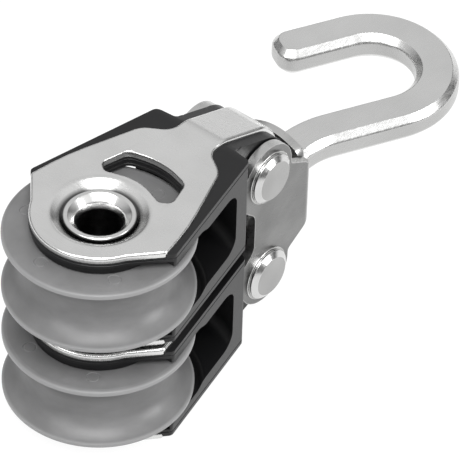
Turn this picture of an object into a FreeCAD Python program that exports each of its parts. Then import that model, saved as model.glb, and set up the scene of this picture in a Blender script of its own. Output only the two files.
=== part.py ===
import FreeCAD, Part
import math
import os

from Sketcher import Constraint

# Double sheave block: two single-sheave units hang side by side in one stainless
# bracket, which carries a flat-bar hook on a swivel neck.
# Frame: X runs from the sheave axes toward the hook, Z along the sheave axes, Y across.
# The origin lies on the sheave axis, midway between the two units. Millimetres.

Vector = FreeCAD.Vector
doc = FreeCAD.newDocument("DoubleSheaveBlock")

SIZES = {
    # the two units
    "unitPitch": 20.2,
    "pinX": 31.2,
    # sheave
    "sheaveRadius": 15.0,
    "sheaveWidth": 12.3,
    "grooveHalfWidth": 5.2,
    "grooveBottomRadius": 11.2,
    "sheaveBoreRadius": 8.6,
    "rimRound": 0.45,
    "markRadius": 1.15,
    "markCircle": 11.9,
    "markDepth": 0.08,
    "markCount": 6,
    # ball bearing
    "ballRadius": 1.5,
    "ballCircle": 7.7,
    "ballRowHeight": 2.4,
    "ballCount": 15,
    "raceRadius": 1.55,
    "hubRadius": 6.8,
    "hubEndRadius": 5.5,
    "hubShoulder": 6.3,
    "hubHalfLength": 7.18,
    # hollow axle rivet
    "rivetRadius": 4.6,
    "rivetBoreRadius": 3.4,
    "rivetLipRadius": 5.65,
    "rivetLipTop": 9.0,
    "rivetFlareDepth": 1.55,
    "fitGap": 0.02,
    # steel strap
    "strapOuter": 9.7,
    "strapThickness": 1.2,
    "strapNeckHalf": 3.9,
    "endRadius": 10.8,
    "dishRadius": 8.4,
    "dishFloor": 8.25,
    "dishUnderside": 7.2,
    "headRadius": 6.65,
    "neckSlope": 21.0,
    "neckBend": 6.8,
    "foldStart": 23.15,
    # nylon cheeks
    "cheekOuter": 9.0,
    "bossFace": 6.4,
    "bossRadius": 10.5,
    "cheekInner": 6.7,
    "ledgeHeight": 7.6,
    "ledgeSweep": 184.0,
    "guardInner": 5.9,
    "guardRadius": 16.5,
    "headWallRadius": 22.8,
    "headWallRound": 2.4,
    "headHalfWidth": 5.8,
    "bushRadius": 3.4,
    "bushBoreRadius": 2.55,
    "bushHalfLength": 5.7,
    # bracket
    "bracketHalfWidth": 7.6,
    "bracketPlate": 1.5,
    "bracketBack": 42.8,
    "lobeRadius": 5.75,
    "bendRadius": 2.0,
    "neckHoleRadius": 2.25,
    # head pins
    "pinRadius": 2.5,
    "pinHeadRadius": 4.3,
    "pinCollarRadius": 4.65,
    "pinCollarHeight": 0.4,
    "pinHeadHeight": 1.45,
    "pinFaceRadius": 3.35,
    # hook
    "hookThickness": 5.0,
    "hookHalfWidth": 3.55,
    "hookRootX": 43.1,
    "hookBevel": 1.1,
    "hookBendRadius": 10.5,
    "hookBendX": 69.7,
    "hookBendY": 2.1,
    "hookLegAngle": 27.0,
    "hookTipLength": 12.6,
    "hookTipRound": 2.9,
    "hookRootRound": 1.6,
    "hookNeckRadius": 2.2,
    "hookPeenRadius": 3.2,
    "hookPeenStart": 38.9,
    "washerRadius": 4.3,
    "washerStart": 40.1,
    "washerThickness": 1.0,
}

sheet = doc.addObject("Spreadsheet::Sheet", "Sizes")
for row, (name, value) in enumerate(SIZES.items(), start=1):
    sheet.set("A%d" % row, name)
    sheet.set("B%d" % row, str(value))
    sheet.setAlias("B%d" % row, name)
doc.recompute()


def size(name):
    """A driving dimension, read back from the sheet."""
    return float(sheet.get(name))


# ---------------------------------------------------------------- outlines

def rounded_loop(corners):
    """Closed outline through corners (x, y, radius): straight runs and tangent arcs."""
    stretches = []
    for index, (x, y, radius) in enumerate(corners):
        here = Vector(x, y, 0)
        last = Vector(corners[index - 1][0], corners[index - 1][1], 0)
        following = corners[(index + 1) % len(corners)]
        to_last = (last - here).normalize()
        to_next = (Vector(following[0], following[1], 0) - here).normalize()
        if radius == 0:
            stretches.append((here, None, here))
            continue
        half_angle = to_last.getAngle(to_next) / 2
        reach = radius / math.tan(half_angle)
        inward = (to_last + to_next).normalize()
        middle = here + inward * (radius / math.sin(half_angle) - radius)
        stretches.append((here + to_last * reach, middle, here + to_next * reach))
    edges = []
    for index, (start, middle, end) in enumerate(stretches):
        if middle is not None:
            edges.append(Part.Arc(start, middle, end))
        next_start = stretches[(index + 1) % len(stretches)][0]
        if (next_start - end).Length > 1e-6:
            edges.append(Part.LineSegment(end, next_start))
    return edges


def both_sides(tip, half):
    """Corner list made symmetric about y = 0: an end corner, one side, then its mirror."""
    mirror = [(x, -y, radius) for x, y, radius in reversed(half)]
    return tip + half + mirror


KINK_ANGLE = math.radians(117.6)
KINK = (size("endRadius") * math.cos(KINK_ANGLE), size("endRadius") * math.sin(KINK_ANGLE))
END_TIP_X = size("endRadius") / math.cos(KINK_ANGLE)
STRAP_CORNER = (-0.4, 13.6)
STRAP_FLANK = (6.5, 12.35, 40.0)
STRAP_SHOULDER = (18.8, 8.0, 3.6)
STRAP_NECK_ROUND = 3.0
STRAP_NECK_X = 21.4
CHEEK_CORNER_REACH = 5.7 / 4.6
CHEEK_SHOULDER = (24.3, 9.35, 1.2)
CHEEK_NECK_X = 24.7


def strap_outline():
    """Plan of one steel cheek: round free end, wide corners, then the neck to the fold."""
    neck = size("strapNeckHalf")
    return both_sides([(END_TIP_X, 0.0, size("endRadius"))], [
        (KINK[0], KINK[1], 0),
        (STRAP_CORNER[0], STRAP_CORNER[1], 0.9),
        STRAP_FLANK,
        STRAP_SHOULDER,
        (STRAP_NECK_X, neck, STRAP_NECK_ROUND),
        (size("foldStart"), neck, 0),
    ])


def recess_outline():
    """Plan of the seat for a steel cheek: its flanks and neck, open past the free end."""
    neck = size("strapNeckHalf")
    slope = (STRAP_CORNER[1] - STRAP_FLANK[1]) / (STRAP_FLANK[0] - STRAP_CORNER[0])
    open_x = -3.0
    open_y = STRAP_FLANK[1] + slope * (STRAP_FLANK[0] - open_x)
    clear = 2 * size("sheaveRadius")
    return both_sides([], [
        (-clear, clear, 0),
        (open_x, clear, 0),
        (open_x, open_y, 0),
        STRAP_FLANK,
        STRAP_SHOULDER,
        (STRAP_NECK_X, neck, STRAP_NECK_ROUND),
        (size("pinX"), neck, 0),
    ])


def cheek_outline():
    """Plan of a nylon cheek: the same free end, wider flanks, shoulders and the head."""
    corner_x = KINK[0] + CHEEK_CORNER_REACH * (STRAP_CORNER[0] - KINK[0])
    corner_y = KINK[1] + CHEEK_CORNER_REACH * (STRAP_CORNER[1] - KINK[1])
    head = size("headHalfWidth")
    return both_sides([(END_TIP_X, 0.0, size("endRadius"))], [
        (KINK[0], KINK[1], 0),
        (corner_x, corner_y, 1.0),
        CHEEK_SHOULDER,
        (CHEEK_NECK_X, head, 0.7),
        (size("pinX") + size("cheekOuter"), head, 0),
    ])


def window_outline():
    """Kidney-shaped window between the axle and the head."""
    inner = 8.8
    half_sweep = math.radians(20.0)
    lobe = [(7.4, 5.4, 1.0), (8.55, 7.05, 1.3), (13.2, 5.75, 2.0)]
    near_end = [(inner / math.cos(half_sweep), 0.0, inner)]
    far_end = [(14.8, 0.0, 12.0)]
    return near_end + lobe + far_end + [(x, -y, r) for x, y, r in reversed(lobe)]


def head_corners(inset):
    """Side view of neck and head: flat, then sloping, then round the head pin."""
    slope = math.radians(size("neckSlope"))
    level = size("strapOuter") - inset
    radius = size("headRadius") - inset
    bend = size("neckBend") - inset
    apex_x = size("pinX") + radius / math.sin(slope)
    bend_x = apex_x - level / math.tan(slope)
    start_x = size("foldStart")
    return [
        (start_x, level, 0),
        (bend_x, level, bend),
        (apex_x, 0, radius),
        (bend_x, -level, bend),
        (start_x, -level, 0),
    ]


def arc_about(center_x, center_y, radius, start_degrees, end_degrees):
    """Arc of a circle given by its centre, its radius and its two end angles."""
    points = []
    for degrees in (start_degrees, (start_degrees + end_degrees) / 2, end_degrees):
        angle = math.radians(degrees)
        points.append(Vector(center_x + radius * math.cos(angle),
                             center_y + radius * math.sin(angle), 0))
    return Part.Arc(*points)


def chain(points):
    """Straight runs through a list of (x, y) points, left open at the ends."""
    vectors = [Vector(x, y, 0) for x, y in points]
    return [Part.LineSegment(a, b) for a, b in zip(vectors, vectors[1:])]


# ---------------------------------------------------------------- document helpers

def new_body(name):
    body = doc.addObject("PartDesign::Body", name)
    body.Label = name
    return body


def new_sketch(body, role, edges, height="0"):
    """Sketch on one of the body's own origin planes, raised by an expression."""
    sketch = body.newObject("Sketcher::SketchObject", body.Name + "_outline")
    plane = [f for f in body.Origin.OriginFeatures if f.Role == role][0]
    sketch.AttachmentSupport = [(plane, "")]
    sketch.MapMode = "FlatFace"
    sketch.setExpression("AttachmentOffset.Base.z", height)
    sketch.addGeometry(edges, False)
    return sketch


def circle_sketch(body, role, radius, height="0", across="0", up="0"):
    """Sketch of one circle whose radius and centre are bound to the sheet."""
    sketch = new_sketch(body, role, [Part.Circle(Vector(0, 0, 0), Vector(0, 0, 1), 1.0)], height)
    sketch.addConstraint(Constraint("Radius", 0, 1.0))
    sketch.setExpression("Constraints[0]", radius)
    sketch.setExpression("AttachmentOffset.Base.x", across)
    sketch.setExpression("AttachmentOffset.Base.y", up)
    sketch.addConstraint(Constraint("Coincident", 0, 3, -1, 1))
    return sketch


def add_feature(body, kind, sketch, length=None, symmetric=False, reverse=False, through=False):
    """Pad or Pocket of a sketch, with its length bound to an expression."""
    feature = body.newObject("PartDesign::" + kind, body.Name + "_" + kind.lower())
    feature.Profile = sketch
    feature.SideType = "Symmetric" if symmetric else "One side"
    feature.Reversed = reverse
    if through:
        feature.Type = "ThroughAll"
    else:
        feature.setExpression("Length", length)
    body.Tip = feature
    return feature


def turn(body, kind, sketch, sweep=None):
    """Revolution or Groove about the vertical axis: all round, or a sweep centred on the sketch."""
    feature = body.newObject("PartDesign::" + kind, body.Name + "_" + kind.lower())
    feature.Profile = sketch
    feature.ReferenceAxis = (sketch, ["V_Axis"])
    feature.Angle = 360.0
    if sweep:
        feature.setExpression("Angle", sweep)
        feature.Midplane = True
    body.Tip = feature
    return feature


def edge_names(feature, wanted):
    """Names of the edges of a feature's shape whose box and curve pass a test."""
    doc.recompute()
    return ["Edge%d" % (i + 1) for i, edge in enumerate(feature.Shape.Edges) if wanted(edge)]


def dress(body, kind, base, names, amount):
    """Fillet or Chamfer on named edges of the feature before it."""
    feature = body.newObject("PartDesign::" + kind, body.Name + "_" + kind.lower())
    feature.Base = (base, names)
    feature.setExpression("Radius" if kind == "Fillet" else "Size", amount)
    body.Tip = feature
    return feature


def place(body, height, flipped=False):
    """Put a unit's piece at its height; a flipped piece is turned over about X."""
    rotation = FreeCAD.Rotation(Vector(1, 0, 0), 180 if flipped else 0)
    body.Placement = FreeCAD.Placement(Vector(0, 0, 0), rotation)
    body.setExpression("Placement.Base.z", height)


# ---------------------------------------------------------------- pieces of one unit

def make_strap(name, height):
    """One-piece stainless strap: two pressed cheeks joined by a fold round the head."""
    body = new_body(name)
    fold = head_corners(0) + head_corners(size("strapThickness"))[::-1]
    add_feature(body, "Pad", new_sketch(body, "XZ_Plane", rounded_loop(fold)),
                "2 * Sizes.strapNeckHalf", symmetric=True)
    plan = rounded_loop(strap_outline())
    for level in ("Sizes.strapOuter - Sizes.strapThickness", "-Sizes.strapOuter"):
        add_feature(body, "Pad", new_sketch(body, "XY_Plane", plan, level),
                    "Sizes.strapThickness")
    add_feature(body, "Pocket", circle_sketch(body, "XY_Plane", "Sizes.dishRadius"),
                symmetric=True, through=True)
    window = rounded_loop(window_outline())
    add_feature(body, "Pocket", new_sketch(body, "XY_Plane", window),
                symmetric=True, through=True)
    for side in (1, -1):
        turn(body, "Revolution", new_sketch(body, "XZ_Plane", dish_profile(side)))
    place(body, height)
    return body


def dish_profile(side):
    """Section of the pressed dish round the axle, for the cheek on one side."""
    outer = size("strapOuter")
    under = outer - size("strapThickness")
    floor = size("dishFloor")
    below = size("dishUnderside")
    hole = size("rivetRadius") + size("fitGap")
    rim = size("dishRadius")
    corners = [
        (hole, floor, 0),
        (rim - 2.6, floor, 0.6),
        (rim - 0.85, outer, 1.6),
        (rim, outer, 0),
        (rim, under, 0),
        (rim - 0.45, under, 0.5),
        (rim - 2.0, below, 0.7),
        (hole, below, 0),
    ]
    return rounded_loop([(r, side * z, radius) for r, z, radius in corners])


def make_cheek(name, height, flipped):
    """Moulded nylon cheek with its half of the head; two of them meet at a seam."""
    body = new_body(name)
    plan = rounded_loop(cheek_outline())
    add_feature(body, "Pad", new_sketch(body, "XY_Plane", plan), "Sizes.cheekOuter")
    turn(body, "Groove", new_sketch(body, "XZ_Plane", rope_way_profile()))
    turn(body, "Groove", new_sketch(body, "XZ_Plane", axle_opening_profile()))
    turn(body, "Groove", new_sketch(body, "XZ_Plane", free_end_profile()), "Sizes.ledgeSweep")
    seat = rounded_loop(recess_outline())
    add_feature(body, "Pocket",
                new_sketch(body, "XY_Plane", seat, "Sizes.strapOuter - Sizes.strapThickness"),
                "Sizes.strapThickness", reverse=True)
    window = rounded_loop(window_outline())
    add_feature(body, "Pocket", new_sketch(body, "XY_Plane", window),
                symmetric=True, through=True)
    cheek_inset = size("strapOuter") - size("cheekOuter")
    add_feature(body, "Pocket",
                new_sketch(body, "XZ_Plane", rounded_loop(beyond_head(cheek_inset))),
                symmetric=True, through=True)
    channel = rounded_loop(beyond_head(size("strapThickness")))
    add_feature(body, "Pocket", new_sketch(body, "XZ_Plane", channel),
                "2 * Sizes.strapNeckHalf", symmetric=True)
    bore = circle_sketch(body, "XZ_Plane", "Sizes.bushRadius", across="Sizes.pinX")
    add_feature(body, "Pocket", bore, symmetric=True, through=True)
    place(body, height, flipped)
    return body


def beyond_head(inset):
    """Everything past the side view of the neck and head, for cutting a cheek."""
    start_x = size("foldStart")
    far_x = size("bracketBack")
    clear = size("sheaveRadius")
    return head_corners(inset) + [
        (start_x, -clear, 0),
        (far_x, -clear, 0),
        (far_x, clear, 0),
        (start_x, clear, 0),
    ]


def rope_way_profile():
    """Section cut from a cheek round the axis: boss, sheave space and rope way."""
    wall = size("headWallRadius")
    below = -1.0
    return rounded_loop([
        (0, below, 0),
        (wall, below, 0),
        (wall, size("guardInner"), size("headWallRound")),
        (size("guardRadius"), size("guardInner"), 0.8),
        (size("guardRadius") - 0.9, size("cheekInner"), 0.5),
        (size("bossRadius"), size("cheekInner"), 0),
        (size("bossRadius"), size("bossFace"), 0),
        (0, size("bossFace"), 0),
    ])


def free_end_profile():
    """Section cut from a cheek's free end, leaving a thin ledge over the round boss."""
    past = size("guardRadius")
    return rounded_loop([
        (-size("bossRadius"), size("cheekInner") - 0.5, 0),
        (-size("bossRadius"), size("ledgeHeight"), 0),
        (-past, size("ledgeHeight"), 0),
        (-past, size("cheekInner") - 0.5, 0),
    ])


def axle_opening_profile():
    """Section cut from a cheek for the hub end and the pressed dish."""
    hub = size("hubEndRadius") + 0.1
    floor = size("dishUnderside") - 0.1
    rim = size("dishRadius") + 0.2
    top = size("cheekOuter") + 1.0
    return rounded_loop([
        (0, size("bossFace") - 1.0, 0),
        (hub, size("bossFace") - 1.0, 0),
        (hub, floor, 0),
        (rim - 1.3, floor, 0),
        (rim, size("strapOuter") - size("strapThickness") - 0.1, 0),
        (rim, top, 0),
        (0, top, 0),
    ])


def race_arc(radius_of_circle, row, outward):
    """Section of one ball raceway, cut into a cylinder of the given radius."""
    circle = size("ballCircle")
    race = size("raceRadius")
    half = math.degrees(math.acos(abs(radius_of_circle - circle) / race))
    middle = 0 if outward else 180
    return arc_about(circle, row, race, middle - half, middle + half)


def raced_line(radius, end, outward):
    """Straight wall at a radius, broken by the two ball raceways."""
    row = size("ballRowHeight")
    race = size("raceRadius")
    reach = math.sqrt(race ** 2 - (radius - size("ballCircle")) ** 2)
    stops = [-end, -row - reach, -row + reach, row - reach, row + reach, end]
    edges = []
    for low, high in zip(stops[0::2], stops[1::2]):
        edges += chain([(radius, low), (radius, high)])
    edges += [race_arc(radius, -row, outward), race_arc(radius, row, outward)]
    return edges


def make_sheave(name, height):
    """Acetal sheave with a deep round rope groove and two outer raceways."""
    body = new_body(name)
    rim = size("sheaveRadius")
    half = size("sheaveWidth") / 2
    bore = size("sheaveBoreRadius")
    lip = size("grooveHalfWidth")
    edge = size("rimRound")
    groove = [Part.Arc(Vector(rim, -lip, 0), Vector(size("grooveBottomRadius"), 0, 0),
                       Vector(rim, lip, 0))]
    profile = groove + raced_line(bore, half, True)
    for side in (1, -1):
        profile += chain([(rim, side * lip), (rim, side * (half - edge))])
        profile += [Part.Arc(Vector(rim, side * (half - edge), 0),
                             Vector(rim - edge * (1 - math.sqrt(0.5)),
                                    side * (half - edge * (1 - math.sqrt(0.5))), 0),
                             Vector(rim - edge, side * half, 0))]
        profile += chain([(rim - edge, side * half), (bore, side * half)])
    turn(body, "Revolution", new_sketch(body, "XZ_Plane", profile))
    for level, reverse in (("Sizes.sheaveWidth / 2", False), ("-Sizes.sheaveWidth / 2", True)):
        mark = circle_sketch(body, "XY_Plane", "Sizes.markRadius", level,
                             across="Sizes.markCircle")
        pocket = add_feature(body, "Pocket", mark, "Sizes.markDepth", reverse=reverse)
        pattern = body.newObject("PartDesign::PolarPattern", body.Name + "_marks")
        pattern.Originals = [pocket]
        axis = [f for f in body.Origin.OriginFeatures if f.Role == "Z_Axis"][0]
        pattern.Axis = (axis, [""])
        pattern.Angle = 360.0
        pattern.setExpression("Occurrences", "Sizes.markCount")
        body.Tip = pattern
    place(body, height)
    return body


def make_hub(name, height):
    """Bearing hub on the axle: two inner raceways and reduced ends for the cheeks."""
    body = new_body(name)
    bore = size("rivetRadius") + size("fitGap")
    radius = size("hubRadius")
    end_radius = size("hubEndRadius")
    shoulder = size("hubShoulder")
    length = size("hubHalfLength")
    profile = raced_line(radius, shoulder, False)
    profile += chain([(bore, -length), (bore, length)])
    for side in (1, -1):
        profile += chain([(bore, side * length), (end_radius, side * length),
                          (end_radius, side * shoulder), (radius, side * shoulder)])
    turn(body, "Revolution", new_sketch(body, "XZ_Plane", profile))
    place(body, height)
    return body


def make_rivet(name, height):
    """Hollow axle rivet, its two ends flared over the dishes of the strap."""
    body = new_body(name)
    bore = size("rivetBoreRadius")
    shank = size("rivetRadius")
    lip = size("rivetLipRadius")
    top = size("rivetLipTop")
    seat = size("dishFloor") + size("fitGap")
    upper = [
        (shank, seat, 0),
        (lip - 0.45, seat, 0),
        (lip, seat + 0.25, 0.15),
        (lip - 0.05, top, 0.25),
        (lip - 0.5, top, 0.4),
        (bore, top - size("rivetFlareDepth"), 0.9),
    ]
    lower = [(r, -z, radius) for r, z, radius in reversed(upper)]
    turn(body, "Revolution", new_sketch(body, "XZ_Plane", rounded_loop(upper + lower)))
    place(body, height)
    return body


def make_ball_row(name, height):
    """One row of bearing balls, as separate solids in one piece group."""
    balls = []
    for index in range(int(size("ballCount"))):
        ball = doc.addObject("Part::Sphere", name + "_ball")
        ball.setExpression("Radius", "Sizes.ballRadius")
        turned = "%d * 360 / Sizes.ballCount" % index
        ball.setExpression("Placement.Base.x", "Sizes.ballCircle * cos(%s)" % turned)
        ball.setExpression("Placement.Base.y", "Sizes.ballCircle * sin(%s)" % turned)
        balls.append(ball)
    row = doc.addObject("Part::Compound", name)
    row.Label = name
    row.Links = balls
    row.setExpression("Placement.Base.z", height)
    return row


def make_bush(name, height):
    """Sleeve in the head, between the two cheeks, that turns on the head pin."""
    body = new_body(name)
    outer = circle_sketch(body, "XZ_Plane", "Sizes.bushRadius - Sizes.fitGap",
                          across="Sizes.pinX")
    add_feature(body, "Pad", outer, "2 * Sizes.bushHalfLength", symmetric=True)
    bore = circle_sketch(body, "XZ_Plane", "Sizes.bushBoreRadius", across="Sizes.pinX")
    add_feature(body, "Pocket", bore, symmetric=True, through=True)
    place(body, height)
    return body


# ---------------------------------------------------------------- head fitting

def make_bracket(name):
    """Stainless channel: two lobed sides for the head pins and a back wall for the hook."""
    body = new_body(name)
    back = size("bracketBack")
    pin_x = size("pinX")
    pin_z = size("unitPitch") / 2
    lobe = size("lobeRadius")
    plate = size("bracketPlate")
    half_width = size("bracketHalfWidth")
    side = [
        (pin_x - lobe + 2.9, 3.6, 2.4),
        (pin_x - lobe, 6.3, 0.3),
        (pin_x - lobe, pin_z + lobe, lobe),
        (pin_x + lobe, pin_z + lobe, lobe),
        (pin_x + lobe, pin_z - 1.0, 1.0),
        (back - 2.3, 7.0, 1.2),
        (back, 5.2, 0.9),
    ]
    mirror = [(x, -z, radius) for x, z, radius in reversed(side)]
    inside = half_width - plate
    wall = back - plate
    bend = size("bendRadius")
    channel = rounded_loop([
        (0, -half_width, 0), (back, -half_width, bend), (back, half_width, bend),
        (0, half_width, 0), (0, inside, 0), (wall, inside, bend - plate),
        (wall, -inside, bend - plate), (0, -inside, 0),
    ])
    add_feature(body, "Pad", new_sketch(body, "XY_Plane", channel),
                "Sizes.unitPitch + 2 * Sizes.lobeRadius + 2", symmetric=True)
    clear = 2 * back
    blank = chain([(-clear, -clear), (clear, -clear), (clear, clear), (-clear, clear),
                   (-clear, -clear)])
    side_cut = blank + rounded_loop(side + mirror)
    inner_face = "Sizes.bracketHalfWidth - Sizes.bracketPlate"
    for level, reverse in ((inner_face, True), ("-(%s)" % inner_face, False)):
        add_feature(body, "Pocket", new_sketch(body, "XZ_Plane", side_cut, level),
                    "2 * Sizes.bracketPlate", reverse=reverse)
    tab = inside - 0.7
    shoulder = 5.2
    for up in (1, -1):
        above = [(inside, shoulder, 0), (tab, shoulder, 0.3), (tab, 6.9, 1.5), (0, 9.1, 9.0),
                 (-tab, 6.9, 1.5), (-tab, shoulder, 0.3), (-inside, shoulder, 0),
                 (-inside, clear, 0), (inside, clear, 0)]
        above = rounded_loop([(y, up * z, radius) for y, z, radius in above])
        add_feature(body, "Pocket", new_sketch(body, "YZ_Plane", above),
                    symmetric=True, through=True)
    for level in ("Sizes.unitPitch / 2", "-Sizes.unitPitch / 2"):
        hole = circle_sketch(body, "XZ_Plane", "Sizes.pinRadius + Sizes.fitGap",
                             across="Sizes.pinX", up=level)
        add_feature(body, "Pocket", hole, symmetric=True, through=True)
    neck = circle_sketch(body, "YZ_Plane", "Sizes.neckHoleRadius", "Sizes.bracketBack + 1")
    add_feature(body, "Pocket", neck, "Sizes.bracketPlate + 2")
    return body


def make_head_pin(name, height):
    """Head pin, riveted at both ends: collar, turned head and bevelled face."""
    body = new_body(name)
    face = size("bracketHalfWidth")
    collar = face + size("pinCollarHeight")
    top = face + size("pinHeadHeight")
    shank = size("pinRadius")
    head = size("pinHeadRadius")
    flat = size("pinFaceRadius")
    bevel = (head - flat) * 0.7
    half = [(shank, face, 0), (size("pinCollarRadius"), face, 0),
            (size("pinCollarRadius"), collar, 0), (head, collar, 0),
            (head, top - bevel, 0), (flat, top, 0), (0, top, 0)]
    mirror = [(r, -y, radius) for r, y, radius in reversed(half)]
    sketch = new_sketch(body, "XY_Plane", rounded_loop(half + mirror))
    turn(body, "Revolution", sketch)
    body.setExpression("Placement.Base.x", "Sizes.pinX")
    body.setExpression("Placement.Base.z", height)
    return body


def offset_path(points, distance):
    """Corners of a path moved sideways; each bend's radius grows or shrinks to suit."""
    moved = []
    for index, (x, y, radius) in enumerate(points):
        here = Vector(x, y, 0)
        before = points[index - 1] if index > 0 else None
        after = points[index + 1] if index + 1 < len(points) else None
        coming = here - Vector(before[0], before[1], 0) if before else None
        going = Vector(after[0], after[1], 0) - here if after else None
        coming = (coming or going).normalize()
        going = (going or coming).normalize()
        left_in = Vector(-coming.y, coming.x, 0)
        left_out = Vector(-going.y, going.x, 0)
        miter = left_in + left_out
        shift = miter * (2 * distance / miter.Length ** 2)
        bends_left = coming.cross(going).z > 0
        new_radius = radius - distance if bends_left else radius + distance
        moved.append((x + shift.x, y + shift.y, new_radius if radius else 0))
    return moved


def hook_path():
    """Centre line of the hook: root, set-off bend, half-circle bow and the tip leg."""
    angle = math.radians(size("hookLegAngle"))
    along = Vector(math.cos(angle), -math.sin(angle), 0)
    outward = Vector(-math.sin(angle), -math.cos(angle), 0)
    bow = Vector(size("hookBendX"), size("hookBendY"), 0)
    radius = size("hookBendRadius")
    start = bow + outward * radius
    set_off_x = start.x + start.y / math.tan(angle)
    corner_one = start + along * radius
    corner_two = bow - outward * radius + along * radius
    tip = bow - outward * radius - along * size("hookTipLength")
    return [
        (size("hookRootX"), 0, 0),
        (set_off_x, 0, 15.0),
        (corner_one.x, corner_one.y, radius),
        (corner_two.x, corner_two.y, radius),
        (tip.x, tip.y, 0),
    ]


def make_hook(name):
    """Flat-bar hook with bevelled edges and a peened swivel neck."""
    body = new_body(name)
    half = size("hookHalfWidth")
    right = offset_path(hook_path(), -half)
    left = offset_path(hook_path(), half)
    for edge in (right, left):
        for end, radius in ((0, size("hookRootRound")), (-1, size("hookTipRound"))):
            edge[end] = (edge[end][0], edge[end][1], radius)
    plan = rounded_loop(right + list(reversed(left)))
    bar = add_feature(body, "Pad", new_sketch(body, "XY_Plane", plan),
                      "Sizes.hookThickness", symmetric=True)
    half_thick = size("hookThickness") / 2

    def face_edge(edge):
        box = edge.BoundBox
        return box.ZLength < 0.01 and abs(abs(box.ZMin) - half_thick) < 0.01

    dress(body, "Chamfer", bar, edge_names(bar, face_edge), "Sizes.hookBevel")
    neck = circle_sketch(body, "YZ_Plane", "Sizes.hookNeckRadius", "Sizes.hookPeenStart")
    add_feature(body, "Pad", neck, "Sizes.hookRootX - Sizes.hookPeenStart + 1")
    peen = circle_sketch(body, "YZ_Plane", "Sizes.hookPeenRadius", "Sizes.hookPeenStart")
    add_feature(body, "Pad", peen, "Sizes.washerStart - Sizes.hookPeenStart")
    return body


def make_washer(name):
    """Washer under the peened end of the hook's neck, inside the bracket."""
    body = new_body(name)
    outer = circle_sketch(body, "YZ_Plane", "Sizes.washerRadius", "Sizes.washerStart")
    add_feature(body, "Pad", outer, "Sizes.washerThickness")
    bore = circle_sketch(body, "YZ_Plane", "Sizes.hookNeckRadius + Sizes.fitGap",
                         "Sizes.washerStart")
    add_feature(body, "Pocket", bore, symmetric=True, through=True)
    return body


# ---------------------------------------------------------------- assembly

nodes = []
for unit, sign in (("upper", ""), ("lower", "-")):
    middle = sign + "Sizes.unitPitch / 2"
    nodes += [
        make_strap(unit + "_strap", middle),
        make_cheek(unit + "_cheek_top", middle, False),
        make_cheek(unit + "_cheek_bottom", middle, True),
        make_rivet(unit + "_axle_rivet", middle),
        make_hub(unit + "_bearing_hub", middle),
        make_ball_row(unit + "_balls_top_row", middle + " + Sizes.ballRowHeight"),
        make_ball_row(unit + "_balls_bottom_row", middle + " - Sizes.ballRowHeight"),
        make_sheave(unit + "_sheave", middle),
        make_bush(unit + "_head_bush", middle),
        make_head_pin(unit + "_head_pin", middle),
    ]
nodes += [make_bracket("bracket"), make_hook("hook"), make_washer("hook_washer")]

doc.recompute()
for item in doc.Objects:
    if "Invalid" in item.State or "Error" in item.State:
        raise RuntimeError("object failed: %s %s" % (item.Label, item.State))
os.makedirs("parts", exist_ok=True)
for node in nodes:
    shape = node.Shape
    if shape.isNull() or not shape.isValid():
        raise RuntimeError("bad shape: " + node.Label)
    shape.exportStep("parts/%s.step" % node.Label)
    print("%-26s solids %2d volume %9.2f" % (node.Label, len(shape.Solids), shape.Volume))
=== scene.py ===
"""Looks of the double sheave block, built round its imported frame."""

import math

import bmesh
import bpy
from mathutils import Matrix, Vector, geometry


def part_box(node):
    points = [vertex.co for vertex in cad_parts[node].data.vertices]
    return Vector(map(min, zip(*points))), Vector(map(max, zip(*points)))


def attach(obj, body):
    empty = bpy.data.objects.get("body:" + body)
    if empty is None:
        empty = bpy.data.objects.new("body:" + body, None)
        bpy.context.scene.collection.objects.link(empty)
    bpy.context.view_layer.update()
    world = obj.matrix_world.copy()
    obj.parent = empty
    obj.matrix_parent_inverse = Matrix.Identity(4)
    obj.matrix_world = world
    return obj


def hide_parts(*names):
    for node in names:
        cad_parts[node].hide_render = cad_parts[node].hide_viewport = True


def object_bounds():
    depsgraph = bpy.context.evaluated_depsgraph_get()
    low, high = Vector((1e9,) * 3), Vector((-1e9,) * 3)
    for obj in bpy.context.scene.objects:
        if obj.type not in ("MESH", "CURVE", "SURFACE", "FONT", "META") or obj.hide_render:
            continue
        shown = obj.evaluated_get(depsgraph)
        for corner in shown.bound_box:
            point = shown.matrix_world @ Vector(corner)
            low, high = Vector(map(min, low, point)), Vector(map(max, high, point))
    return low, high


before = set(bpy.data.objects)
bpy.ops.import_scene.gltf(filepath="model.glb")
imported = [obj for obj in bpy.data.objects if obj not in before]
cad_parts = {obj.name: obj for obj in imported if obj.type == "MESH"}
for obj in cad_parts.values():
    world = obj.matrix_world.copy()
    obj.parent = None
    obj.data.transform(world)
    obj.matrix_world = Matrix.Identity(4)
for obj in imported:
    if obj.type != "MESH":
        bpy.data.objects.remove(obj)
CAD_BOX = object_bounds()
MM = 0.001

# ------------------------------------------------------------ sizes, read from the frame

STRAP_LOW, STRAP_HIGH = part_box("upper_strap")
SHEAVE_LOW, SHEAVE_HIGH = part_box("upper_sheave")
RIVET_LOW, RIVET_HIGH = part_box("upper_axle_rivet")
PIN_LOW, PIN_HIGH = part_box("upper_head_pin")
BRACKET_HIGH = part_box("bracket")[1]
HOOK_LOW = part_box("hook")[0]

MID_Z = (SHEAVE_LOW.z + SHEAVE_HIGH.z) / 2 / MM
PIN_X = (PIN_LOW.x + PIN_HIGH.x) / 2 / MM
SHEAVE_R = SHEAVE_HIGH.x / MM
SHEAVE_HALF = (SHEAVE_HIGH.z - SHEAVE_LOW.z) / 2 / MM
STRAP_OUT = (STRAP_HIGH.z - STRAP_LOW.z) / 2 / MM
END_R = -STRAP_LOW.x / MM

# ------------------------------------------------------------ millimetres the boxes don't give

STEEL = 1.2
NECK_HALF = 3.9
AXLE_BORE = 3.4
RIVET_SHANK = 4.6

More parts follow.
